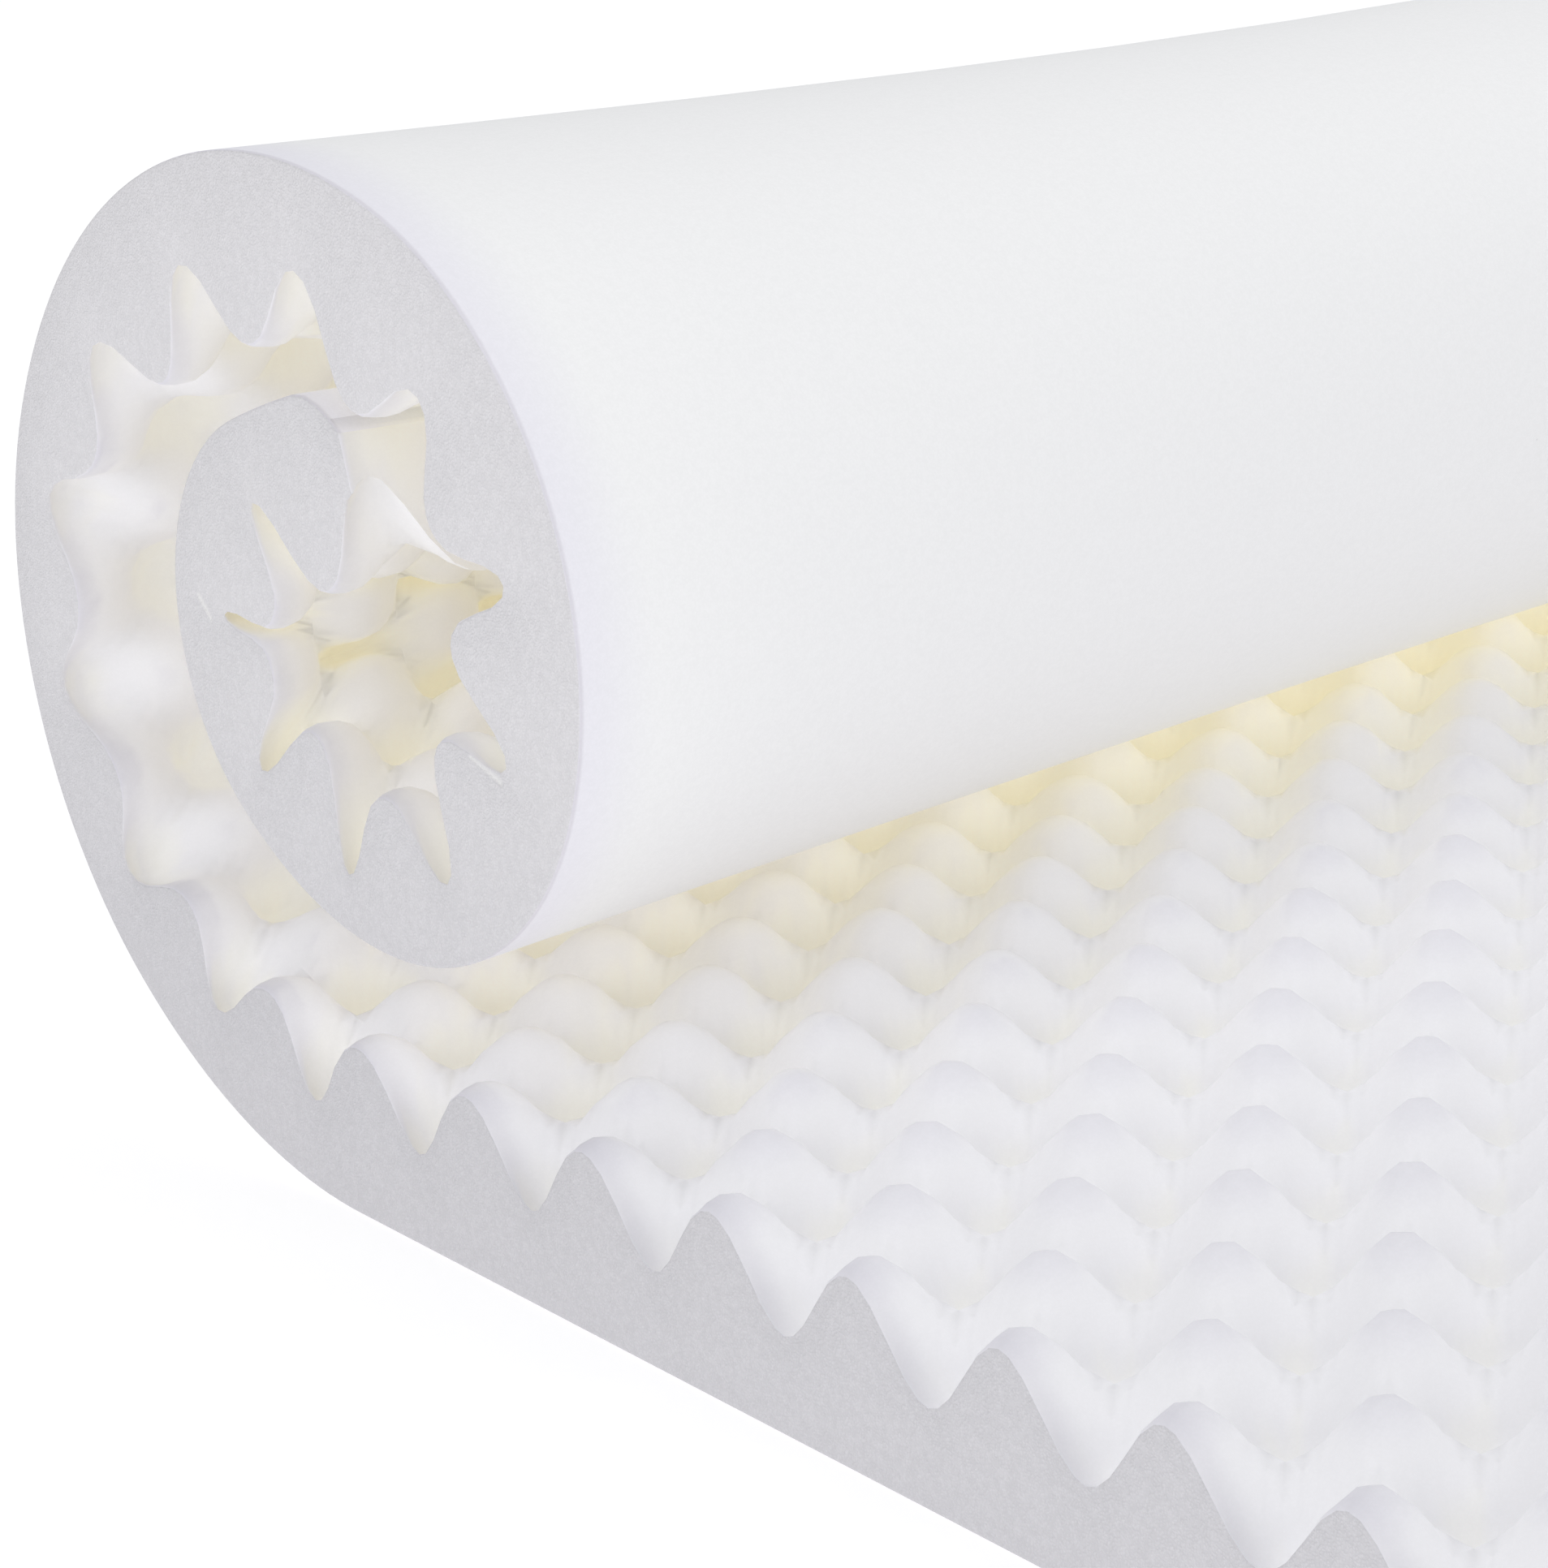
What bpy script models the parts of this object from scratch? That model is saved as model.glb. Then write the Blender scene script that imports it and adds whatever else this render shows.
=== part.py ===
"""Convoluted foam mattress topper, partly rolled up.

One slab of foam, smooth on one face and cut into rounded peaks and valleys on the other.
It lies flat on its smooth face, peaks up, and its back end is rolled forward onto it, one and a
half turns, with the peaks inside the roll. X runs along the roll, -Y is the open front end and
Z is up. The origin is under the middle of the slab's box.
"""
import math

import bmesh
import bpy

# Driving dimensions, metres
WIDTH = 0.990
LENGTH = 1.905
THICKNESS = 0.0508
RELIEF = 0.028
THINNEST = THICKNESS - RELIEF
PITCH_LENGTH = 0.0508
PEAKS_ACROSS = 17
# The first row of peaks stands this far in from the cut side
SIDE_OFFSET = 0.006
# Lengths along the slab count from a row of peaks at the foot of the roll. The smooth face
# leaves the floor in front of that row, and the roll takes up this many pitches behind it.
LIFT_LINE = -0.0425
ROLLED_PITCHES = 15.5
# Bending closes the valleys into slots, from this many pitches in front of the roll on. At 0
# peaks and valleys stay alike, and at 1 the slots are narrowest
SLOTS_FROM = -6
SLOTS_CLOSED = 0.6
# The roll is wound tighter over this width, and then stays at its far radius
TIGHTENING_WIDTH = 0.55

# The bends of the smooth face from the floor to the free end of the roll.
# turn: degrees; near, far: radius at the loose side and at the tight side, metres;
# unstretched: depth under the smooth face at which the foam keeps its flat length, metres
BENDS = (
    {"turn": 40, "near": 0.1675, "far": 0.2177, "unstretched": 0.025},
    {"turn": 80, "near": 0.1260, "far": 0.1044, "unstretched": 0.030},
    {"turn": 80, "near": 0.1615, "far": 0.1406, "unstretched": 0.043},
    {"turn": 40, "near": 0.1075, "far": 0.0860, "unstretched": 0.038},
    {"turn": 120, "near": 0.0955, "far": 0.0991, "unstretched": 0.020},
    {"turn": 40, "near": 0.1095, "far": 0.1286, "unstretched": 0.003},
    {"turn": 120, "near": 0.0620, "far": 0.0508, "unstretched": 0.014},
    {"turn": 90, "near": 0.4000, "far": 0.0800, "unstretched": 0.022},
)
# Where the rolled foam is pressed thinner: its middle along the slab, its reach to both sides,
# and the share of its thickness that it loses there
PRESSED = (
    {"middle": 3 * PITCH_LENGTH, "reach": 2 * PITCH_LENGTH, "share": 0.29},
    {"middle": 11.5 * PITCH_LENGTH, "reach": 2 * PITCH_LENGTH, "share": 0.13},
)
# Along the cut edge at the loose side some peaks bulge and some slots are deeper.
# place: pitches along the slab; growth: how much thicker the foam is there, metres
LOOSE_EDGE = (
    {"place": 5.0, "growth": 0.0045},
    {"place": 7.0, "growth": 0.0035},
    {"place": 7.5, "growth": 0.0040},
    {"place": 8.0, "growth": 0.0030},
    {"place": 9.0, "growth": 0.0050},
    {"place": 10.0, "growth": 0.0040},
    {"place": 10.5, "growth": -0.0040},
    {"place": 11.5, "growth": -0.0070},
    {"place": 12.0, "growth": 0.0045},
    {"place": 12.5, "growth": -0.0060},
    {"place": 14.5, "growth": -0.0050},
)
# How far each of these reaches along the slab, in pitches, and in from the edge, metres
EDGE_REACH = 0.3
EDGE_WIDTH = 0.06
# The outer turn of the roll dents the smooth face at the free end this deep
END_DENT = 0.012
# Straight pieces across the smooth face where it is rolled
ROLL_STRIPS = 4
# Edges sharper than this are shaded as edges
SHARP_ANGLE = math.radians(60)
# Two stations closer than this share of half a pitch become one
LEAST_SPACING = 0.01

PITCH_WIDTH = WIDTH / PEAKS_ACROSS
ROLL_END = ROLLED_PITCHES * PITCH_LENGTH
FRONT_END = ROLL_END - LENGTH

FOAM_COLOUR = (0.86, 0.86, 0.85, 1.0)
FOAM_ROUGHNESS = 0.95


def closing(along):
    """How far the valleys have closed into slots, which starts in front of the roll."""
    reach = (along / PITCH_LENGTH - SLOTS_FROM) / -SLOTS_FROM
    return SLOTS_CLOSED * min(max(reach, 0.0), 1.0)


def foam_depth(across, along):
    """Thickness of the slab at a place: peaks and valleys in a chequered pattern."""
    wave = math.cos(math.tau * (across - SIDE_OFFSET) / PITCH_WIDTH)
    wave *= math.cos(math.tau * along / PITCH_LENGTH)
    wave += closing(along) * (1.0 - wave * wave) / 2
    return THICKNESS - RELIEF / 2 + RELIEF / 2 * wave


def settled_depth(across, along, depth):
    """Depth of a point once the foam has settled in the roll."""
    loss = 0.0
    for press in PRESSED:
        loss += press["share"] * math.exp(-(((along - press["middle"]) / press["reach"]) ** 2))
    growth = 0.0
    for spot in LOOSE_EDGE:
        away = ((along / PITCH_LENGTH - spot["place"]) / EDGE_REACH) ** 2
        growth += spot["growth"] * math.exp(-away - (across / EDGE_WIDTH) ** 2)
    dent = END_DENT * max(0.0, 1.0 - (ROLL_END - along) / PITCH_LENGTH) ** 2
    raised = min(depth / THINNEST, 1.0)
    return depth * (1.0 - loss) + raised * growth + (1.0 - raised) * dent


def half_pitch_stations(start, end, first, pitch):
    """Both ends and every half pitch between them."""
    half = pitch / 2
    lowest = math.ceil((start - first) / half + LEAST_SPACING)
    highest = math.floor((end - first) / half - LEAST_SPACING)
    inner = [first + i * half for i in range(lowest, highest + 1)]
    return [start] + inner + [end]


def tightness(across):
    """0 at the loose side of the roll, 1 where it is tight."""
    reach = min(across / TIGHTENING_WIDTH, 1.0)
    return math.sin(reach * math.pi / 2)


def rolled(across, along, depth):
    """Where a point of the flat slab lies once the slab is rolled."""
    if along <= LIFT_LINE:
        return across, along, depth
    tight = tightness(across)
    y, z, heading, left = LIFT_LINE, 0.0, 0.0, along - LIFT_LINE
    for bend in BENDS:
        radius = bend["near"] + (bend["far"] - bend["near"]) * tight
        turn = math.radians(bend["turn"])
        flat_length = (radius - bend["unstretched"]) * turn
        centre_y = y - radius * math.sin(heading)
        centre_z = z + radius * math.cos(heading)
        angle = heading + turn * min(left / flat_length, 1.0)
        y = centre_y + radius * math.sin(angle)
        z = centre_z - radius * math.cos(angle)
        heading = angle
        left -= flat_length
        if left <= 0:
            break
    depth = settled_depth(across, along, depth)
    return across, y - depth * math.sin(heading), z + depth * math.cos(heading)


def flat_slab(mesh):
    """The slab before it is rolled, peaks up, with a point on every peak, valley and saddle."""
    columns = half_pitch_stations(0.0, WIDTH, SIDE_OFFSET, PITCH_WIDTH)
    rows = half_pitch_stations(FRONT_END, ROLL_END, 0.0, PITCH_LENGTH)
    bmesh.ops.create_grid(mesh, x_segments=len(columns) - 1, y_segments=len(rows) - 1, size=0.5)
    for vert in mesh.verts:
        column = round((vert.co.x + 0.5) * (len(columns) - 1))
        row = round((vert.co.y + 0.5) * (len(rows) - 1))
        vert.co = (columns[column], rows[row], 0.0)
    rim = [edge for edge in mesh.edges if edge.is_boundary]
    bmesh.ops.poke(mesh, faces=mesh.faces[:])
    for vert in mesh.verts:
        vert.co.z = foam_depth(vert.co.x, vert.co.y)
    walls = bmesh.ops.extrude_edge_only(mesh, edges=rim)
    for item in walls["geom"]:
        if isinstance(item, bmesh.types.BMVert):
            item.co.z = 0.0
    base_rim = [edge for edge in mesh.edges if edge.is_boundary]
    bmesh.ops.contextual_create(mesh, geom=base_rim)
    split_base(mesh, rows)
    bmesh.ops.recalc_face_normals(mesh, faces=mesh.faces[:])
    bmesh.ops.triangulate(mesh, faces=mesh.faces[:])


def split_base(mesh, rows):
    """Joins the two sides of the smooth face at each row, and divides the joins in the roll."""
    base = sorted((v for v in mesh.verts if v.co.z == 0.0), key=lambda v: v.co.y)
    near = [v for v in base if v.co.x < SIDE_OFFSET / 2]
    far = [v for v in base if v.co.x > WIDTH - SIDE_OFFSET / 2]
    joins = []
    for row, one, other in list(zip(rows, near, far))[1:-1]:
        made = bmesh.ops.connect_verts(mesh, verts=[one, other])
        if row > LIFT_LINE - PITCH_LENGTH:
            joins += made["edges"]
    bmesh.ops.subdivide_edges(mesh, edges=joins, cuts=ROLL_STRIPS - 1, use_grid_fill=True)


def foam_material():
    material = bpy.data.materials.new("foam")
    material.use_nodes = True
    shader = material.node_tree.nodes["Principled BSDF"]
    shader.inputs["Base Color"].default_value = FOAM_COLOUR
    shader.inputs["Roughness"].default_value = FOAM_ROUGHNESS
    shader.inputs["Metallic"].default_value = 0.0
    return material


def make_topper():
    mesh = bmesh.new()
    flat_slab(mesh)
    for vert in mesh.verts:
        vert.co = rolled(*vert.co)
    middle_x = WIDTH / 2
    middle_y = (min(v.co.y for v in mesh.verts) + max(v.co.y for v in mesh.verts)) / 2
    bmesh.ops.translate(mesh, verts=mesh.verts[:], vec=(-middle_x, -middle_y, 0.0))
    data = bpy.data.meshes.new("topper")
    mesh.to_mesh(data)
    mesh.free()
    data.shade_smooth()
    data.set_sharp_from_angle(angle=SHARP_ANGLE)
    data.materials.append(foam_material())
    topper = bpy.data.objects.new("topper", data)
    bpy.context.scene.collection.objects.link(topper)


def main():
    for item in list(bpy.data.objects):
        bpy.data.objects.remove(item)
    make_topper()


main()
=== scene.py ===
"""Convoluted foam mattress topper, partly rolled up, in a plain white studio."""

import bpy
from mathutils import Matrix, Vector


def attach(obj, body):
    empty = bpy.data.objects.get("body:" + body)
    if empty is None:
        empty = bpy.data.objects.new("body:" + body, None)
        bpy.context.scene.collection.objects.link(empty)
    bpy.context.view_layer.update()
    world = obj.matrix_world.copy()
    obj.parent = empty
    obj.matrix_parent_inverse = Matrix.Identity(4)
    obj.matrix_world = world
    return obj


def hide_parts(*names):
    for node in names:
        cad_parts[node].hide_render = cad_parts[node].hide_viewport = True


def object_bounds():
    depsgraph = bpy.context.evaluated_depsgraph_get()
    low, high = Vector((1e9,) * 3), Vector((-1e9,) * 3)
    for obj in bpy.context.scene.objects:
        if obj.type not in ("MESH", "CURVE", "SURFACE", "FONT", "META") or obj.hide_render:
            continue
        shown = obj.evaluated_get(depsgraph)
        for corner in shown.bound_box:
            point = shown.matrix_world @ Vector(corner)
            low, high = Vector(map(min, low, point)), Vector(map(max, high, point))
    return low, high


bl_info = {
    "name": "Convoluted foam topper",
    "version": (1, 0, 0),
    "blender": (4, 5, 0),
    "location": "View3D > Sidebar > Topper",
    "description": "Models a rolled slab of convoluted foam and a plain studio around it",
    "category": "Add Mesh",
}

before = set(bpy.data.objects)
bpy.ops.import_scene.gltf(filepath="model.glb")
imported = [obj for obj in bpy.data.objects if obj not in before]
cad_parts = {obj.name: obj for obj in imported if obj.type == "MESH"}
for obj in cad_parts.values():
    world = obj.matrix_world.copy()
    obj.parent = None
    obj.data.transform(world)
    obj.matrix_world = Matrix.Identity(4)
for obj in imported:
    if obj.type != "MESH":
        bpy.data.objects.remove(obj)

import math

import bmesh
import bpy
from mathutils import Matrix, Vector, noise
from mathutils.bvhtree import BVHTree

CAD_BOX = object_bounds()
NODE = "topper"

# Plan of the slab, metres: the same values as the solid it stands for
WIDTH = 0.990
LENGTH = 1.905
THINNEST = 0.0228
PEAKS_ACROSS = 17
PITCH_LENGTH = 0.0508
PITCH_WIDTH = WIDTH / PEAKS_ACROSS
SIDE_OFFSET = 0.006
LIFT_LINE = -0.0425
ROLLED_PITCHES = 15.5
ROLL_END = ROLLED_PITCHES * PITCH_LENGTH
FRONT_END = ROLL_END - LENGTH
TIGHTENING_WIDTH = 0.55

# The bends of the smooth face from the floor to the free end of the roll.
# turn: degrees; near, far: radius at the loose side and at the tight side, metres;
# unstretched: depth under the smooth face at which the foam keeps its flat length, metres
BENDS = (
    {"turn": 40, "near": 0.1675, "far": 0.2177, "unstretched": 0.025},
    {"turn": 80, "near": 0.1260, "far": 0.1044, "unstretched": 0.030},
    {"turn": 80, "near": 0.1615, "far": 0.1406, "unstretched": 0.043},
    {"turn": 40, "near": 0.1075, "far": 0.0860, "unstretched": 0.038},
    {"turn": 120, "near": 0.0955, "far": 0.0991, "unstretched": 0.020},
    {"turn": 40, "near": 0.1095, "far": 0.1286, "unstretched": 0.003},
    {"turn": 120, "near": 0.0620, "far": 0.0508, "unstretched": 0.014},
    {"turn": 90, "near": 0.4000, "far": 0.0800, "unstretched": 0.022},
)
# Where the rolled foam is pressed thinner: its middle along the slab, its reach to both sides,
# and the share of its thickness that it loses there
PRESSED = (
    {"middle": 3 * PITCH_LENGTH, "reach": 2 * PITCH_LENGTH, "share": 0.29},
    {"middle": 11.5 * PITCH_LENGTH, "reach": 2 * PITCH_LENGTH, "share": 0.13},
)
# Along the cut edge at the loose side some peaks bulge and some slots are deeper.
# place: pitches along the slab; growth: how much thicker the foam is there, metres
LOOSE_EDGE = (
    {"place": 5.0, "growth": 0.0045},
    {"place": 7.0, "growth": 0.0035},
    {"place": 7.5, "growth": 0.0040},
    {"place": 8.0, "growth": 0.0030},
    {"place": 9.0, "growth": 0.0050},
    {"place": 10.0, "growth": 0.0040},
    {"place": 10.5, "growth": -0.0040},
    {"place": 11.5, "growth": -0.0070},
    {"place": 12.0, "growth": 0.0045},
    {"place": 12.5, "growth": -0.0060},
    {"place": 14.5, "growth": -0.0050},
)
# How far each of these reaches along the slab, in pitches, and in from the edge, metres
EDGE_REACH = 0.3
EDGE_WIDTH = 0.06
# The outer turn of the roll dents the smooth face at the free end this deep and this far
END_DENT = 0.012
DENT_REACH = 0.018

# Bending closes the valleys into slots, from this many pitches in front of the roll on
SLOTS_FROM = -6

# How much of the unevenness the cut edge has, how much peaks differ in height, and how quickly
# and where in the noise both change
EDGE_SHARE = 0.3
HEIGHT_SHARE = 0.06
WANDER_PACE = 9.0
HEIGHT_PACE = 14.0
ASIDE_PLACE = Vector((2.0, 7.0, 4.0))
AHEAD_PLACE = Vector((8.0, 1.0, 6.0))
HEIGHT_PLACE = Vector((5.0, 3.0, 1.0))
# The most that bending may close a slot
MOST_CLOSED = 0.9

# Rays cast from each point to see how much foam is around it, how far off the foam they start,
# and how far they look, metres
SHELTER_RAYS = 10
SHELTER_START = 0.0004
SHELTER_REACH = 0.16

# Where the mesh has a line across each half pitch, closer on the crests and in the valleys
FINE_CUTS = (0.0, 0.13, 0.30, 0.50, 0.70, 0.87)
COARSE_CUTS = (0.0, 0.15, 0.36, 0.64, 0.85)
# In front of this many pitches from the roll the lines along the slab are coarser
COARSE_FROM = -10
# Lines closer to an end of the slab than this share of a pitch are left out
LEAST_SPACING = 0.02
# Lines along the smooth face of the roll, between its two sides
SMOOTH_LINES = 11
# Closer than this to a line counts as on it, metres
ON_LINE = 1e-4
# Sharper than these are edges that are softened, corners of the slab, and edges in the shading
SOFTENED_ANGLE = math.radians(30)
CORNER_ANGLE = math.radians(80)
SHARP_ANGLE = math.radians(50)

# Painted shade: the colour is darker beside the cut side and low down, where shade falls. On the
# smooth face these are a band and a thin dark line along the cut side, and the low part of the roll
# near its open end.
# side, height: the distances from the cut side and from the floor over which the painted shade fades
# out, metres. EVERYWHERE is farther than any foam is, so the shade doesn't fade out
EVERYWHERE = (1.0, 2.0)
CONTOURED_SHADES = (
    {"side": (0.0, 0.010), "height": EVERYWHERE, "colour": (0.88, 0.875, 0.895, 1.0)},
)
CUT_SHADES = (
    {"side": EVERYWHERE, "height": (0.03, 0.16), "colour": (0.92, 0.92, 0.93, 1.0)},
)
SMOOTH_SHADES = (
    {"side": (0.0, 0.028), "height": EVERYWHERE, "colour": (0.935, 0.925, 0.98, 1.0)},
    {"side": (0.0006, 0.0020), "height": EVERYWHERE, "colour": (0.86, 0.85, 0.86, 1.0)},
    {"side": (0.03, 0.30), "height": (0.05, 0.15), "colour": (0.93, 0.915, 0.90, 1.0)},
)

# Roughness of the foam, and how much light foam and floor throw back as gloss
FOAM_ROUGHNESS = 0.95
SPECULAR = 0.1
SPECK_COLOUR = (0.45, 0.45, 0.47, 1.0)
# Colour of the nicks, how much of it shows, and how deep they are against the foam's cells
NICK_COLOUR = (0.92, 0.91, 0.90, 1.0)
NICK_SHARE = 0.6
NICK_DEPTH = 2.0
# How far the cells stand out, as a share of their size
CELL_DEPTH = 0.5
# Clumps of cells: their number in each cell's width, their detail, and how much cells and clumps
# differ. Of the grain, this share is cells and the rest clumps
CLUMP_SCALE = 0.35
CLUMP_DETAIL = 3.0
PORE_RANGE = (0.1, 0.8, 1.0, 0.0)
CLUMP_RANGE = (0.3, 0.7, 0.0, 1.0)
PORE_SHARE = 0.6

BLACK = (0.0, 0.0, 0.0, 1.0)
# Painted shade that darkens open peaks against the open colour, and colour of the painted glow that
# stands in for the light that comes through the foam
PAINTED_CREST_SHADE = (0.915, 0.91, 0.935, 1.0)
PAINTED_GLOW_COLOUR = (1.0, 0.975, 0.87, 1.0)
# What the painted warm shade, the painted crest shade and the painted glow ease over: low and high
# value, and what comes out at both.
# Height is 0 in a valley and 1 on a peak; shelter is 0 in the open and 1 where all is hidden
SHELTER_BY_HEIGHT = (0.35, 0.90, 1.12, 0.76)
CREST_BY_HEIGHT = (0.66, 1.0, 0.0, 1.0)
CREST_BY_SHELTER = (0.12, 0.32, 1.0, 0.0)
SHELTERED_TINT = (0.34, 0.68, 0.0, 1.0)
DEEP_TINT = (0.62, 0.92, 0.0, 1.0)
PASSED_TINT = (0.24, 0.95, 0.0, 1.0)
# Height that stands for faces without peaks
NO_PEAKS = 0.5

# Which finish each side of the slab has, and the finishes in the same order.
# open, sheltered, deep: colour where the light reaches, and the painted warm shade in crevices and
# at their bottom; grain: how much darker the pores are; bump: how much they stand out; specks: how
# strong they are; peaked: whether the painted warm shade eases off on peaks and painted shade
# darkens open crests;
# nicked: whether the small nicks show; shades: where painted shade darkens the colour
CONTOURED, CUT_SIDE, SMOOTH = range(3)
FINISHES = {
    "contoured_foam": {
        "open": (0.960, 0.954, 0.974, 1.0), "sheltered": (0.983, 0.974, 0.935, 1.0),
        "deep": (0.963, 0.946, 0.875, 1.0), "grain": 0.02, "bump": 0.0, "specks": 0.0,
        "peaked": True, "nicked": False, "shades": CONTOURED_SHADES},
    # The cut side's colours are darker and greyer than the other faces of the same foam: painted
    # shade. Its grain, specks and nicks are its own
    "cut_foam": {
        "open": (0.790, 0.777, 0.800, 1.0), "sheltered": (0.82, 0.81, 0.81, 1.0),
        "deep": (0.84, 0.83, 0.80, 1.0), "grain": 0.10, "bump": 0.5, "specks": 0.1,
        "peaked": False, "nicked": True, "shades": CUT_SHADES},
    "smooth_foam": {
        "open": (0.955, 0.955, 0.955, 1.0), "sheltered": (0.96, 0.955, 0.94, 1.0),
        "deep": (0.96, 0.945, 0.88, 1.0), "grain": 0.03, "bump": 0.0, "specks": 0.35,
        "peaked": False, "nicked": False, "shades": SMOOTH_SHADES},
}
# Small nicks in the cut side: y and z of both ends, metres from the row where lengths start
NICKS = (
    ((0.0036, 0.1604), (-0.0012, 0.1552)),
    ((-0.1215, 0.1411), (-0.1335, 0.1372)),
)

# Where a mix node has its colours
MIX_ONE, MIX_OTHER, MIX_RESULT = 6, 7, 2

# Light goes back and forth this often between the pale walls of a valley
LIGHT_BOUNCES = 24

# The camera, worked out from the grid of peaks. Its place and its nearest distance are in metres,
# its angles in degrees, and its lens and sensor in millimetres. The place counts from the corner of
# the cut side at the row of peaks where lengths start
CAMERA_PLACE = Vector((-0.4768, -0.8975, 0.4112))
CAMERA_TURN = 36.04
CAMERA_DIP = 17.30
CAMERA_LEAN = -4.64
CAMERA_LENS = 91.9
CAMERA_SENSOR = 36.0
CAMERA_NEAREST = 0.05

# The lights: the studio property with the power, the width and the place, metres
LIGHTS = {
    "top_light": {"power": "top_power", "width": 1.2, "place": (0.3, 0.6, 1.5)},
    "front_light": {"power": "front_power", "width": 4.0, "place": (1.8, -7.7, 2.3)},
    "side_light": {"power": "side_power", "width": 0.8, "place": (-2.2, 0.3, 0.6)},
    "fill_light": {"power": "fill_power", "width": 0.8, "place": (-1.0, -0.2, 1.0)},
}
# The place that they all aim at, metres
LIGHTS_AIM = (0.0, 0.1, 0.1)
AMBIENT_COLOUR = (0.97, 0.98, 1.0, 1.0)

# The floor reaches this far to each side of the middle, and lies this far under the foam, metres
FLOOR_REACH = 30.0
FLOOR_DROP = 0.0004
FLOOR_ROUGHNESS = 0.9
# Its glow goes from near to far over these distances from the middle, metres
GLOW_FADE = (0.7, 2.4)


class TopperFoam(bpy.types.PropertyGroup):
    thickness: bpy.props.FloatProperty(
        name="Thickness", description="Smooth face to the top of a peak",
        default=0.0508, unit="LENGTH")
    relief: bpy.props.FloatProperty(
        name="Relief", description="Top of a peak to the bottom of a valley",
        default=0.028, unit="LENGTH")
    unevenness: bpy.props.FloatProperty(
        name="Unevenness", description="How far peaks wander from an even grid",
        default=0.0016, unit="LENGTH")
    pinch: bpy.props.FloatProperty(
        name="Pinch", description="How much the valleys of the rolled foam close into slots",
        default=0.6, min=0.0, max=1.0, subtype="FACTOR")
    edge_round: bpy.props.FloatProperty(
        name="Edge rounding", description="Width of the softened cut edges",
        default=0.0009, unit="LENGTH")
    # Painted glow: strength of the light the foam gives off in its crevices, standing in for light
    # passing through it
    painted_passed_glow: bpy.props.FloatProperty(
        name="Passed light", description="Light that comes through the foam into its crevices",
        default=0.054, min=0.0, max=1.0, subtype="FACTOR")
    cell_size: bpy.props.FloatProperty(
        name="Cell size", description="Size of the foam's open cells",
        default=0.0007, unit="LENGTH")


class TopperStudio(bpy.types.PropertyGroup):
    floor_colour: bpy.props.FloatVectorProperty(
        name="Floor colour", description="Colour of the floor",
        subtype="COLOR", size=3, default=(0.66, 0.66, 0.66))
    ambient: bpy.props.FloatProperty(
        name="Ambient light", description="Strength of the even light from all sides",
        default=0.54)
    top_power: bpy.props.FloatProperty(
        name="Top light", description="Power of the large light above the roll, watts",
        default=5.5)
    front_power: bpy.props.FloatProperty(
        name="Front light", description="Power of the low, soft light far in front, watts",
        default=127.0)
    side_power: bpy.props.FloatProperty(
        name="Side light", description="Power of the light that shines into the roll, watts",
        default=4.0)
    fill_power: bpy.props.FloatProperty(
        name="Fill light", description="Power of the soft light to the left, watts",
        default=1.7)
    near_glow: bpy.props.FloatProperty(
        name="Near floor glow", description="Light that the floor gives off under the object",
        default=0.535)
    far_glow: bpy.props.FloatProperty(
        name="Far floor glow", description="Light that the floor gives off in the distance",
        default=0.66)


def stations(start, end, first, pitch, cuts_at):
    """Both ends, and between them the lines that cuts_at gives for each half pitch."""
    half = pitch / 2
    found = [start]
    for i in range(math.floor((start - first) / half), math.ceil((end - first) / half) + 1):
        for share in cuts_at(i / 2):
            place = first + (i + share) * half
            if start + pitch * LEAST_SPACING < place < end - pitch * LEAST_SPACING:
                found.append(place)
    return found + [end]


def foam_depth(across, along, size):
    """Thickness of the slab at a place: peaks and valleys in a chequered pattern, a bit uneven.

    Towards the roll the foam is bent, and its valleys close into slots."""
    spot = Vector((across, along, 0.0))
    inward = min(across / EDGE_WIDTH, 1.0)
    unevenness = size.unevenness * (EDGE_SHARE + (1.0 - EDGE_SHARE) * inward)
    aside = unevenness * noise.noise(spot * WANDER_PACE + ASIDE_PLACE)
    ahead = unevenness * noise.noise(spot * WANDER_PACE + AHEAD_PLACE)
    grow = 1.0 + HEIGHT_SHARE * noise.noise(spot * HEIGHT_PACE + HEIGHT_PLACE)
    wave = math.cos(math.tau * (across + aside - SIDE_OFFSET) / PITCH_WIDTH)
    wave *= math.cos(math.tau * (along + ahead) / PITCH_LENGTH)
    closing = min(max((along / PITCH_LENGTH - SLOTS_FROM) / -SLOTS_FROM, 0.0), 1.0)
    wave += size.pinch * closing * (1.0 - wave * wave) / 2
    middle = size.thickness - size.relief / 2
    return min(middle + size.relief / 2 * wave * grow, size.thickness)


def settled_depth(across, along, depth):
    """Depth of a point once the foam has settled in the roll."""
    loss = 0.0
    for press in PRESSED:
        loss += press["share"] * math.exp(-(((along - press["middle"]) / press["reach"]) ** 2))
    growth = 0.0
    for spot in LOOSE_EDGE:
        away = ((along / PITCH_LENGTH - spot["place"]) / EDGE_REACH) ** 2
        growth += spot["growth"] * math.exp(-away - (across / EDGE_WIDTH) ** 2)
    dent = END_DENT * max(0.0, 1.0 - (ROLL_END - along) / DENT_REACH) ** 2
    raised = min(depth / THINNEST, 1.0)
    return depth * (1.0 - loss) + raised * growth + (1.0 - raised) * dent


def tightness(across):
    """0 at the loose side of the roll, 1 where it is tight."""
    reach = min(max(across / TIGHTENING_WIDTH, 0.0), 1.0)
    return math.sin(reach * math.pi / 2)


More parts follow.
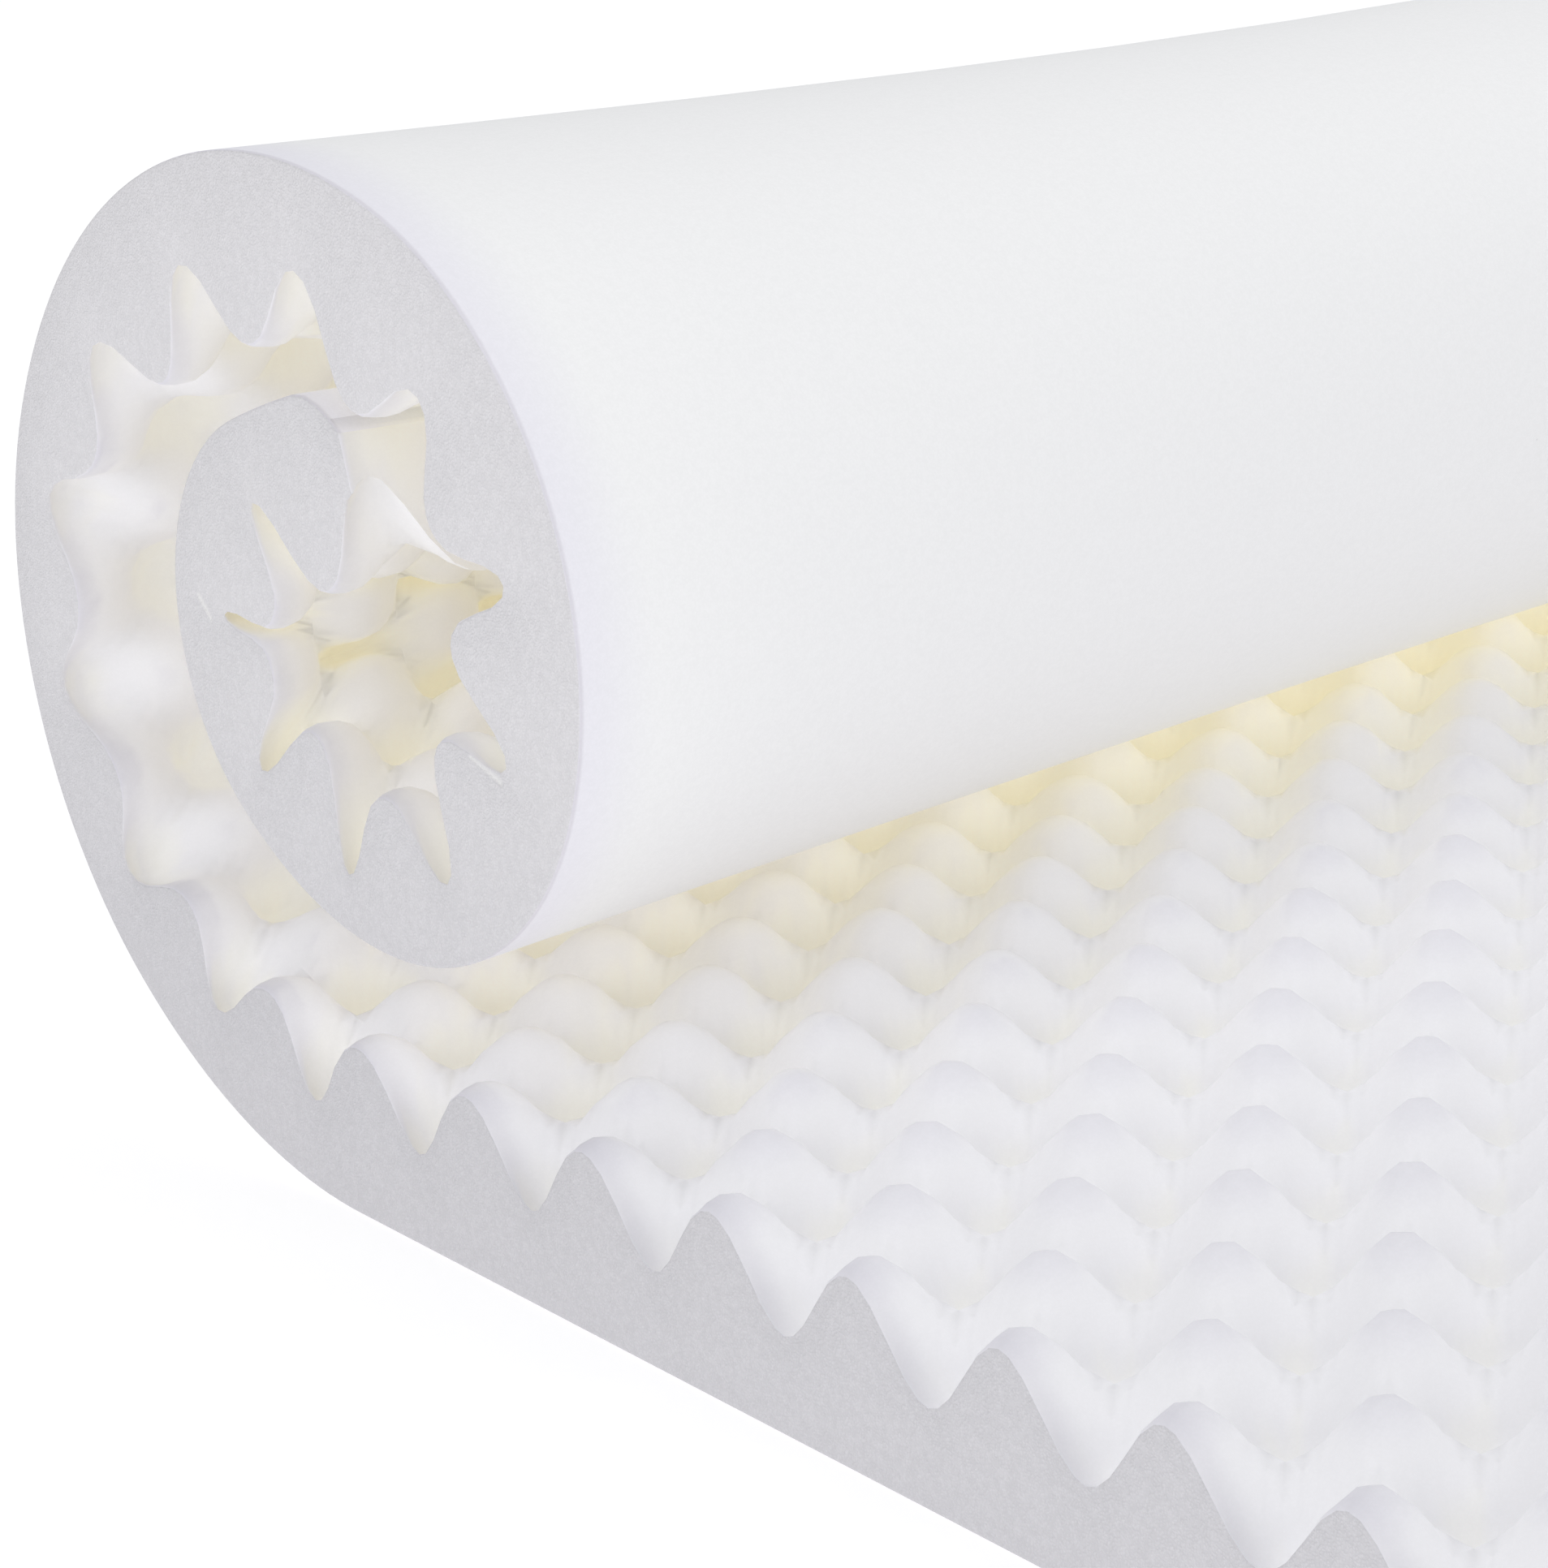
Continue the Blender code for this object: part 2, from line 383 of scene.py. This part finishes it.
def bend_at(across, along):
    """Foot of a place on the rolled smooth face: y, z, heading, curvature, unstretched depth."""
    if along <= LIFT_LINE:
        return along, 0.0, 0.0, 0.0, BENDS[0]["unstretched"]
    tight = tightness(across)
    y, z, heading, left = LIFT_LINE, 0.0, 0.0, along - LIFT_LINE
    for bend in BENDS:
        radius = bend["near"] + (bend["far"] - bend["near"]) * tight
        turn = math.radians(bend["turn"])
        inner = radius - bend["unstretched"]
        centre_y = y - radius * math.sin(heading)
        centre_z = z + radius * math.cos(heading)
        angle = heading + turn * min(left / (inner * turn), 1.0)
        y = centre_y + radius * math.sin(angle)
        z = centre_z - radius * math.cos(angle)
        heading = angle
        left -= inner * turn
        if left <= 0:
            break
    return y, z, heading, 1.0 / inner, bend["unstretched"]


def rolled(across, along, depth):
    """Where a point of the flat slab lies once it is rolled. Peaks keep their width, slots close."""
    if along <= LIFT_LINE - PITCH_LENGTH / 2:
        return across, along, depth
    depth = settled_depth(across, along, depth)
    side = math.cos(math.tau * (across - SIDE_OFFSET) / PITCH_WIDTH)
    shift = 0.0 if side >= 0 else 0.5
    peak = (round(along / PITCH_LENGTH - shift) + shift) * PITCH_LENGTH
    _, _, _, curvature, unstretched = bend_at(across, along)
    if curvature and depth > 0:
        reach = along - peak
        share = abs(reach) / (PITCH_LENGTH / 2)
        most = MOST_CLOSED / (1.0 + share + share * share)
        over = min(curvature * (depth - unstretched), most)
        keep = (1.0 - over * share * share) / (1.0 - over)
        along = peak + reach * (1.0 + abs(side) * (keep - 1.0))
    y, z, heading, _, _ = bend_at(across, along)
    return across, y - depth * math.sin(heading), z + depth * math.cos(heading)


def flat_slab(mesh, size):
    """The slab before it is rolled, contoured face up. Stores how high each point of that face is.

    The height is 0 at the bottom of a valley and 1 on top of a peak."""
    height = mesh.verts.layers.float.new("height")
    columns = stations(0.0, WIDTH, SIDE_OFFSET, PITCH_WIDTH, lambda i: FINE_CUTS)
    rows = stations(FRONT_END, ROLL_END, 0.0, PITCH_LENGTH,
                    lambda i: FINE_CUTS if i >= COARSE_FROM else COARSE_CUTS)
    bmesh.ops.create_grid(mesh, x_segments=len(columns) - 1, y_segments=len(rows) - 1, size=0.5)
    for vert in mesh.verts:
        column = round((vert.co.x + 0.5) * (len(columns) - 1))
        row = round((vert.co.y + 0.5) * (len(rows) - 1))
        vert.co = (columns[column], rows[row], 0.0)
        vert.co.z = foam_depth(vert.co.x, vert.co.y, size)
        vert[height] = 1.0 - (size.thickness - vert.co.z) / size.relief
    rim = [edge for edge in mesh.edges if edge.is_boundary]
    walls = bmesh.ops.extrude_edge_only(mesh, edges=rim)
    for item in walls["geom"]:
        if isinstance(item, bmesh.types.BMVert):
            item.co.z = 0.0
        if isinstance(item, bmesh.types.BMFace):
            inner_end = all(vert.co.y > ROLL_END - ON_LINE for vert in item.verts)
            item.material_index = CONTOURED if inner_end else CUT_SIDE
    base_rim = [edge for edge in mesh.edges if edge.is_boundary]
    base = bmesh.ops.contextual_create(mesh, geom=base_rim)
    base["faces"][0].material_index = SMOOTH
    split_base(mesh, rows)
    bmesh.ops.recalc_face_normals(mesh, faces=mesh.faces[:])
    edges = [edge for edge in mesh.edges if between_finishes(edge) or on_corner(edge)]
    bmesh.ops.bevel(mesh, geom=edges, offset=size.edge_round, offset_type="OFFSET", segments=2,
                    profile=0.5, affect="EDGES", material=-1)


def between_finishes(edge):
    """Whether two finishes meet at an edge, and not in one plane."""
    finishes = {face.material_index for face in edge.link_faces}
    return len(finishes) > 1 and edge.calc_face_angle(0.0) > SOFTENED_ANGLE


def on_corner(edge):
    """Whether an edge stands upright at one of the slab's four corners."""
    upright = edge.verts[0].co.z != 0.0 and edge.verts[1].co.z == 0.0
    return upright and edge.calc_face_angle(0.0) > CORNER_ANGLE


def split_base(mesh, rows):
    """Joins the two sides of the smooth face at each row of the roll, and divides the joins."""
    base = sorted((v for v in mesh.verts if v.co.z == 0.0), key=lambda v: v.co.y)
    near = [v for v in base if v.co.x < ON_LINE]
    far = [v for v in base if v.co.x > WIDTH - ON_LINE]
    joins = []
    for row, one, other in list(zip(rows, near, far))[1:-1]:
        if row > LIFT_LINE - PITCH_LENGTH:
            joins += bmesh.ops.connect_verts(mesh, verts=[one, other])["edges"]
    bmesh.ops.subdivide_edges(mesh, edges=joins, cuts=SMOOTH_LINES, use_grid_fill=True)


def add_shelter(mesh):
    """Stores at each point the share of its sky, 0 to 1, that other foam hides."""
    tree = BVHTree.FromBMesh(mesh)
    layer = mesh.verts.layers.float.new("shelter")
    golden = math.pi * (3 - math.sqrt(5))
    rays = []
    for i in range(SHELTER_RAYS):
        rise = math.sqrt((i + 0.5) / SHELTER_RAYS)
        flat = math.sqrt(1 - rise * rise)
        rays.append(Vector((flat * math.cos(i * golden), flat * math.sin(i * golden), rise)))
    for vert in mesh.verts:
        turn = Vector((0.0, 0.0, 1.0)).rotation_difference(vert.normal)
        start = vert.co + vert.normal * SHELTER_START
        hidden = 0.0
        for ray in rays:
            distance = tree.ray_cast(start, turn @ ray, SHELTER_REACH)[3]
            if distance is not None:
                hidden += 1 - distance / SHELTER_REACH
        vert[layer] = hidden / SHELTER_RAYS


def node_group(name, inputs, outputs):
    """An empty shader node group. inputs: name, socket type, value; outputs: name, socket type."""
    group = bpy.data.node_groups.new(name, "ShaderNodeTree")
    for label, kind, value in inputs:
        socket = group.interface.new_socket(label, in_out="INPUT", socket_type=kind)
        if value is not None:
            socket.default_value = value
    for label, kind in outputs:
        group.interface.new_socket(label, in_out="OUTPUT", socket_type=kind)
    return group, group.nodes.new("NodeGroupInput"), group.nodes.new("NodeGroupOutput")


def math_node(tree, operation, *values):
    """A math node whose inputs are sockets or numbers; gives back its output."""
    node = tree.nodes.new("ShaderNodeMath")
    node.operation = operation
    for socket, value in zip(node.inputs, values):
        if isinstance(value, bpy.types.NodeSocket):
            tree.links.new(value, socket)
        else:
            socket.default_value = value
    return node.outputs[0]


def map_node(tree, value, low, high, to_low, to_high):
    """Eases a value from one range into another."""
    node = tree.nodes.new("ShaderNodeMapRange")
    node.interpolation_type = "SMOOTHSTEP"
    tree.links.new(value, node.inputs["Value"])
    for label, amount in (("From Min", low), ("From Max", high), ("To Min", to_low),
                          ("To Max", to_high)):
        if isinstance(amount, bpy.types.NodeSocket):
            tree.links.new(amount, node.inputs[label])
        else:
            node.inputs[label].default_value = amount
    return node.outputs["Result"]


def mix_node(tree, factor, one, other, blend="MIX"):
    """Mixes two colours, which are sockets or values."""
    node = tree.nodes.new("ShaderNodeMix")
    node.data_type = "RGBA"
    node.blend_type = blend
    for socket, value in ((node.inputs["Factor"], factor), (node.inputs[MIX_ONE], one),
                          (node.inputs[MIX_OTHER], other)):
        if isinstance(value, bpy.types.NodeSocket):
            tree.links.new(value, socket)
        else:
            socket.default_value = value
    return node.outputs[MIX_RESULT]


def scaled_place(tree, place, length):
    """A place divided by a length."""
    node = tree.nodes.new("ShaderNodeVectorMath")
    node.operation = "SCALE"
    tree.links.new(place, node.inputs[0])
    tree.links.new(math_node(tree, "DIVIDE", 1.0, length), node.inputs["Scale"])
    return node.outputs["Vector"]


def foam_cells():
    """Open cells of the foam: how light each spot is, and how high it stands."""
    group, given, result = node_group(
        "foam_cells",
        (("Place", "NodeSocketVector", None), ("Cell Size", "NodeSocketFloat", 0.0007)),
        (("Shade", "NodeSocketFloat"), ("Height", "NodeSocketFloat")))
    place = scaled_place(group, given.outputs["Place"], given.outputs["Cell Size"])
    cells = group.nodes.new("ShaderNodeTexVoronoi")
    cells.inputs["Scale"].default_value = 1.0
    group.links.new(place, cells.inputs["Vector"])
    clumps = group.nodes.new("ShaderNodeTexNoise")
    clumps.inputs["Scale"].default_value = CLUMP_SCALE
    clumps.inputs["Detail"].default_value = CLUMP_DETAIL
    group.links.new(place, clumps.inputs["Vector"])
    pores = map_node(group, cells.outputs["Distance"], *PORE_RANGE)
    clumped = map_node(group, clumps.outputs["Fac"], *CLUMP_RANGE)
    shade = math_node(group, "ADD", math_node(group, "MULTIPLY", pores, PORE_SHARE),
                      math_node(group, "MULTIPLY", clumped, 1.0 - PORE_SHARE))
    group.links.new(shade, result.inputs["Shade"])
    group.links.new(pores, result.inputs["Height"])
    return group


def crevice_tint():
    """Painted warm shade where other foam shelters it from the light, less on peaks, with painted
    crest shade and glow.
    """
    group, given, result = node_group(
        "crevice_tint",
        (("Shelter", "NodeSocketFloat", 0.0), ("Height", "NodeSocketFloat", 0.5),
         ("Open Colour", "NodeSocketColor", None),
         ("Sheltered Colour", "NodeSocketColor", None), ("Deep Colour", "NodeSocketColor", None),
         ("Crest Colour", "NodeSocketColor", PAINTED_CREST_SHADE),
         ("Passed Colour", "NodeSocketColor", PAINTED_GLOW_COLOUR)),
        (("Colour", "NodeSocketColor"), ("Passed Light", "NodeSocketColor")))
    low = map_node(group, given.outputs["Height"], *SHELTER_BY_HEIGHT)
    shelter = math_node(group, "MULTIPLY", given.outputs["Shelter"], low)
    # Painted shade on the tops of open crests
    top = map_node(group, given.outputs["Height"], *CREST_BY_HEIGHT)
    unhidden = map_node(group, given.outputs["Shelter"], *CREST_BY_SHELTER)
    open_colour = mix_node(group, math_node(group, "MULTIPLY", top, unhidden),
                           given.outputs["Open Colour"], given.outputs["Crest Colour"], "MULTIPLY")
    # Painted warm shade: cream where the foam is sheltered, deeper cream at the bottom of crevices
    first = mix_node(group, map_node(group, shelter, *SHELTERED_TINT), open_colour,
                     given.outputs["Sheltered Colour"])
    colour = mix_node(group, map_node(group, shelter, *DEEP_TINT), first,
                      given.outputs["Deep Colour"])
    group.links.new(colour, result.inputs["Colour"])
    # Painted glow, stronger where the foam is more sheltered
    passed = mix_node(group, map_node(group, given.outputs["Shelter"], *PASSED_TINT),
                      BLACK, given.outputs["Passed Colour"])
    group.links.new(passed, result.inputs["Passed Light"])
    return group


def stray_specks():
    """Mask of small specks, one to each spacing at most and in few of them."""
    group, given, result = node_group(
        "stray_specks",
        (("Place", "NodeSocketVector", None), ("Spacing", "NodeSocketFloat", 0.03),
         ("Speck Size", "NodeSocketFloat", 0.0006), ("Share", "NodeSocketFloat", 0.3)),
        (("Mask", "NodeSocketFloat"),))
    place = scaled_place(group, given.outputs["Place"], given.outputs["Spacing"])
    spots = group.nodes.new("ShaderNodeTexVoronoi")
    spots.inputs["Scale"].default_value = 1.0
    group.links.new(place, spots.inputs["Vector"])
    radius = math_node(group, "DIVIDE", given.outputs["Speck Size"], given.outputs["Spacing"])
    near = map_node(group, spots.outputs["Distance"], 0.0, radius, 1.0, 0.0)
    pick = group.nodes.new("ShaderNodeSeparateColor")
    group.links.new(spots.outputs["Color"], pick.inputs["Color"])
    chosen = math_node(group, "LESS_THAN", pick.outputs["Red"], given.outputs["Share"])
    group.links.new(math_node(group, "MULTIPLY", near, chosen), result.inputs["Mask"])
    return group


def cut_nick():
    """Mask of a short nick between two places."""
    group, given, result = node_group(
        "cut_nick",
        (("Place", "NodeSocketVector", None), ("Start", "NodeSocketVector", None),
         ("End", "NodeSocketVector", None), ("Width", "NodeSocketFloat", 0.0016)),
        (("Mask", "NodeSocketFloat"),))

    def vector_node(operation, one, other, output="Vector"):
        node = group.nodes.new("ShaderNodeVectorMath")
        node.operation = operation
        group.links.new(one, node.inputs[0])
        group.links.new(other, node.inputs[1])
        return node.outputs[output]

    start, end = given.outputs["Start"], given.outputs["End"]
    away = vector_node("SUBTRACT", given.outputs["Place"], start)
    length = vector_node("SUBTRACT", end, start)
    share = math_node(group, "DIVIDE", vector_node("DOT_PRODUCT", away, length, "Value"),
                      vector_node("DOT_PRODUCT", length, length, "Value"))
    share = math_node(group, "MINIMUM", math_node(group, "MAXIMUM", share, 0.0), 1.0)
    foot = group.nodes.new("ShaderNodeVectorMath")
    foot.operation = "SCALE"
    group.links.new(length, foot.inputs[0])
    group.links.new(share, foot.inputs["Scale"])
    distance = vector_node("DISTANCE", away, foot.outputs["Vector"], "Value")
    near = map_node(group, distance, 0.0, given.outputs["Width"], 1.0, 0.0)
    group.links.new(near, result.inputs["Mask"])
    return group


def near_shade():
    """Mask of painted shade, fading out with the distance from the cut side and with the height."""
    group, given, result = node_group(
        "near_shade",
        (("Place", "NodeSocketVector", None), ("Side", "NodeSocketFloat", 0.0),
         ("From Side", "NodeSocketFloat", 0.0), ("To Side", "NodeSocketFloat", 0.03),
         ("From Height", "NodeSocketFloat", 0.0), ("To Height", "NodeSocketFloat", 0.2)),
        (("Mask", "NodeSocketFloat"),))
    parts = group.nodes.new("ShaderNodeSeparateXYZ")
    group.links.new(given.outputs["Place"], parts.inputs["Vector"])
    away = math_node(group, "SUBTRACT", parts.outputs["X"], given.outputs["Side"])
    aside = map_node(group, away, given.outputs["From Side"], given.outputs["To Side"], 1.0, 0.0)
    low = map_node(group, parts.outputs["Z"], given.outputs["From Height"],
                   given.outputs["To Height"], 1.0, 0.0)
    group.links.new(math_node(group, "MULTIPLY", aside, low), result.inputs["Mask"])
    return group


def use_group(tree, group, **values):
    """Adds a node group to a tree; spaces in the names of its inputs are underscores here."""
    node = tree.nodes.new("ShaderNodeGroup")
    node.node_tree = group
    for label, value in values.items():
        socket = node.inputs[label.replace("_", " ")]
        if isinstance(value, bpy.types.NodeSocket):
            tree.links.new(value, socket)
        else:
            socket.default_value = value
    return node.outputs


def on_cut_side(place):
    """A place on the cut side, given as y and z from the row where lengths start."""
    return CAD_BOX[0].x, CAD_BOX[0].y - FRONT_END + place[0], place[1]


def foam_material(name, size, groups, finish):
    """One finish of the foam, as its entry in FINISHES says."""
    material = bpy.data.materials.new(name)
    material.use_nodes = True
    tree = material.node_tree
    shader = tree.nodes["Principled BSDF"]
    shader.inputs["Roughness"].default_value = FOAM_ROUGHNESS
    shader.inputs["Specular IOR Level"].default_value = SPECULAR
    shader.inputs["Emission Strength"].default_value = size.painted_passed_glow
    place = tree.nodes.new("ShaderNodeTexCoord").outputs["Object"]
    shelter = tree.nodes.new("ShaderNodeAttribute")
    shelter.attribute_name = "shelter"
    cells = use_group(tree, groups["foam_cells"], Place=place, Cell_Size=size.cell_size)
    height = tree.nodes.new("ShaderNodeAttribute")
    height.attribute_name = "height"
    # Painted warm shade in crevices, painted shade on open crests and painted glow
    tint = use_group(tree, groups["crevice_tint"], Shelter=shelter.outputs["Fac"],
                     Height=height.outputs["Fac"] if finish["peaked"] else NO_PEAKS,
                     Open_Colour=finish["open"], Sheltered_Colour=finish["sheltered"],
                     Deep_Colour=finish["deep"])
    light = map_node(tree, cells["Shade"], 0.0, 1.0, 1.0 - finish["grain"], 1.0)
    colour = mix_node(tree, 1.0, tint["Colour"], light, "MULTIPLY")
    if finish["specks"]:
        specks = use_group(tree, groups["stray_specks"], Place=place)["Mask"]
        colour = mix_node(tree, math_node(tree, "MULTIPLY", specks, finish["specks"]), colour,
                          SPECK_COLOUR)
    relief = cells["Height"]
    if finish["nicked"]:
        for start, end in NICKS:
            nick = use_group(tree, groups["cut_nick"], Place=place, Start=on_cut_side(start),
                             End=on_cut_side(end))["Mask"]
            colour = mix_node(tree, math_node(tree, "MULTIPLY", nick, NICK_SHARE), colour,
                              NICK_COLOUR)
            relief = math_node(tree, "SUBTRACT", relief,
                               math_node(tree, "MULTIPLY", nick, NICK_DEPTH))
    # Painted shade beside the cut side, low down, and under the open end of the roll
    for shade in finish["shades"]:
        near = use_group(tree, groups["near_shade"], Place=place, Side=CAD_BOX[0].x,
                         From_Side=shade["side"][0], To_Side=shade["side"][1],
                         From_Height=shade["height"][0], To_Height=shade["height"][1])["Mask"]
        colour = mix_node(tree, near, colour, shade["colour"], "MULTIPLY")
    tree.links.new(colour, shader.inputs["Base Color"])
    # Painted glow in the crevices
    tree.links.new(tint["Passed Light"], shader.inputs["Emission Color"])
    if finish["bump"]:
        bump = tree.nodes.new("ShaderNodeBump")
        bump.inputs["Strength"].default_value = finish["bump"]
        bump.inputs["Distance"].default_value = size.cell_size * CELL_DEPTH
        tree.links.new(relief, bump.inputs["Height"])
        tree.links.new(bump.outputs["Normal"], shader.inputs["Normal"])
    return material


class MESH_OT_topper_slab(bpy.types.Operator):
    """Makes the foam slab, contoured above and smooth below, with its back end rolled up"""
    bl_idname = "mesh.topper_slab"
    bl_label = "Foam slab"
    bl_options = {"REGISTER", "UNDO"}

    def execute(self, context):
        size = context.scene.topper_foam
        mesh = bmesh.new()
        flat_slab(mesh, size)
        for vert in mesh.verts:
            vert.co = rolled(*vert.co)
        low = CAD_BOX[0]
        front = min(v.co.y for v in mesh.verts)
        bmesh.ops.translate(mesh, verts=mesh.verts[:], vec=(low.x, low.y - front, 0.0))
        mesh.normal_update()
        add_shelter(mesh)
        data = bpy.data.meshes.new("foam_slab")
        mesh.to_mesh(data)
        mesh.free()
        data.shade_smooth()
        data.set_sharp_from_angle(angle=SHARP_ANGLE)
        groups = {"foam_cells": foam_cells(), "crevice_tint": crevice_tint(),
                  "stray_specks": stray_specks(), "cut_nick": cut_nick(), "near_shade": near_shade()}
        for name, finish in FINISHES.items():
            data.materials.append(foam_material(name, size, groups, finish))
        slab = bpy.data.objects.new("foam_slab", data)
        context.scene.collection.objects.link(slab)
        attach(slab, "root")
        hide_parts(NODE)
        return {"FINISHED"}


class SCENE_OT_topper_stage(bpy.types.Operator):
    """Makes the floor, the lights and the camera"""
    bl_idname = "scene.topper_stage"
    bl_label = "Studio"
    bl_options = {"REGISTER", "UNDO"}

    def execute(self, context):
        studio = context.scene.topper_studio
        make_floor(context, studio)
        make_lights(context, studio)
        make_camera(context)
        return {"FINISHED"}


def make_floor(context, studio):
    """A pale floor that gives off a little light of its own."""
    mesh = bmesh.new()
    bmesh.ops.create_grid(mesh, x_segments=1, y_segments=1, size=FLOOR_REACH)
    data = bpy.data.meshes.new("floor")
    mesh.to_mesh(data)
    mesh.free()
    material = bpy.data.materials.new("floor")
    material.use_nodes = True
    shader = material.node_tree.nodes["Principled BSDF"]
    shader.inputs["Base Color"].default_value = (*studio.floor_colour, 1.0)
    shader.inputs["Roughness"].default_value = FLOOR_ROUGHNESS
    shader.inputs["Specular IOR Level"].default_value = SPECULAR
    shader.inputs["Emission Strength"].default_value = 1.0
    tree = material.node_tree
    place = tree.nodes.new("ShaderNodeTexCoord").outputs["Object"]
    distance = tree.nodes.new("ShaderNodeVectorMath")
    distance.operation = "LENGTH"
    tree.links.new(place, distance.inputs[0])
    glow = map_node(tree, distance.outputs["Value"], *GLOW_FADE, studio.near_glow, studio.far_glow)
    tree.links.new(glow, shader.inputs["Emission Color"])
    data.materials.append(material)
    floor = bpy.data.objects.new("floor", data)
    floor.location.z = CAD_BOX[0].z - FLOOR_DROP
    context.scene.collection.objects.link(floor)


def area_light(context, name, power, width, place):
    """A square light, turned to the place that all lights aim at."""
    light = bpy.data.lights.new(name, "AREA")
    light.shape = "SQUARE"
    light.size = width
    light.energy = power
    lamp = bpy.data.objects.new(name, light)
    lamp.location = place
    lamp.rotation_euler = (Vector(LIGHTS_AIM) - place).to_track_quat("-Z", "Y").to_euler()
    context.scene.collection.objects.link(lamp)


def make_lights(context, studio):
    """The even light from all sides and the lights of the table."""
    world = bpy.data.worlds.new("studio")
    world.use_nodes = True
    background = world.node_tree.nodes["Background"]
    background.inputs["Color"].default_value = AMBIENT_COLOUR
    background.inputs["Strength"].default_value = studio.ambient
    context.scene.world = world
    for name, light in LIGHTS.items():
        area_light(context, name, getattr(studio, light["power"]), light["width"],
                   Vector(light["place"]))
    context.scene.cycles.max_bounces = LIGHT_BOUNCES
    context.scene.cycles.diffuse_bounces = LIGHT_BOUNCES
    context.scene.view_settings.view_transform = "Standard"


def make_camera(context):
    """The camera at its worked-out place."""
    turn, dip, lean = (math.radians(a) for a in (CAMERA_TURN, CAMERA_DIP, CAMERA_LEAN))
    ahead = Vector((math.sin(turn) * math.cos(dip), math.cos(turn) * math.cos(dip), -math.sin(dip)))
    right = ahead.cross(Vector((0.0, 0.0, 1.0))).normalized()
    up = right.cross(ahead)
    leant_right = right * math.cos(lean) + up * math.sin(lean)
    leant_up = up * math.cos(lean) - right * math.sin(lean)
    camera = bpy.data.cameras.new("camera")
    camera.lens = CAMERA_LENS
    camera.sensor_width = CAMERA_SENSOR
    camera.clip_start = CAMERA_NEAREST
    view = bpy.data.objects.new("camera", camera)
    axes = Matrix((leant_right, leant_up, -ahead)).transposed()
    start = Vector((CAD_BOX[0].x, CAD_BOX[0].y - FRONT_END, 0.0))
    view.matrix_world = Matrix.Translation(start + CAMERA_PLACE) @ axes.to_4x4()
    context.scene.collection.objects.link(view)
    context.scene.camera = view


class VIEW3D_PT_topper(bpy.types.Panel):
    bl_label = "Foam topper"
    bl_space_type = "VIEW_3D"
    bl_region_type = "UI"
    bl_category = "Topper"

    def draw(self, context):
        layout = self.layout
        for group in (context.scene.topper_foam, context.scene.topper_studio):
            for name in group.__annotations__:
                layout.prop(group, name)
        layout.operator("mesh.topper_slab")
        layout.operator("scene.topper_stage")


CLASSES = (TopperFoam, TopperStudio, MESH_OT_topper_slab, SCENE_OT_topper_stage, VIEW3D_PT_topper)


def register():
    for item in CLASSES:
        bpy.utils.register_class(item)
    bpy.types.Scene.topper_foam = bpy.props.PointerProperty(type=TopperFoam)
    bpy.types.Scene.topper_studio = bpy.props.PointerProperty(type=TopperStudio)


def unregister():
    del bpy.types.Scene.topper_studio
    del bpy.types.Scene.topper_foam
    for item in reversed(CLASSES):
        bpy.utils.unregister_class(item)


def main():
    register()
    bpy.ops.mesh.topper_slab()
    bpy.ops.scene.topper_stage()
    bpy.context.view_layer.update()


if __name__ == "__main__":
    main()
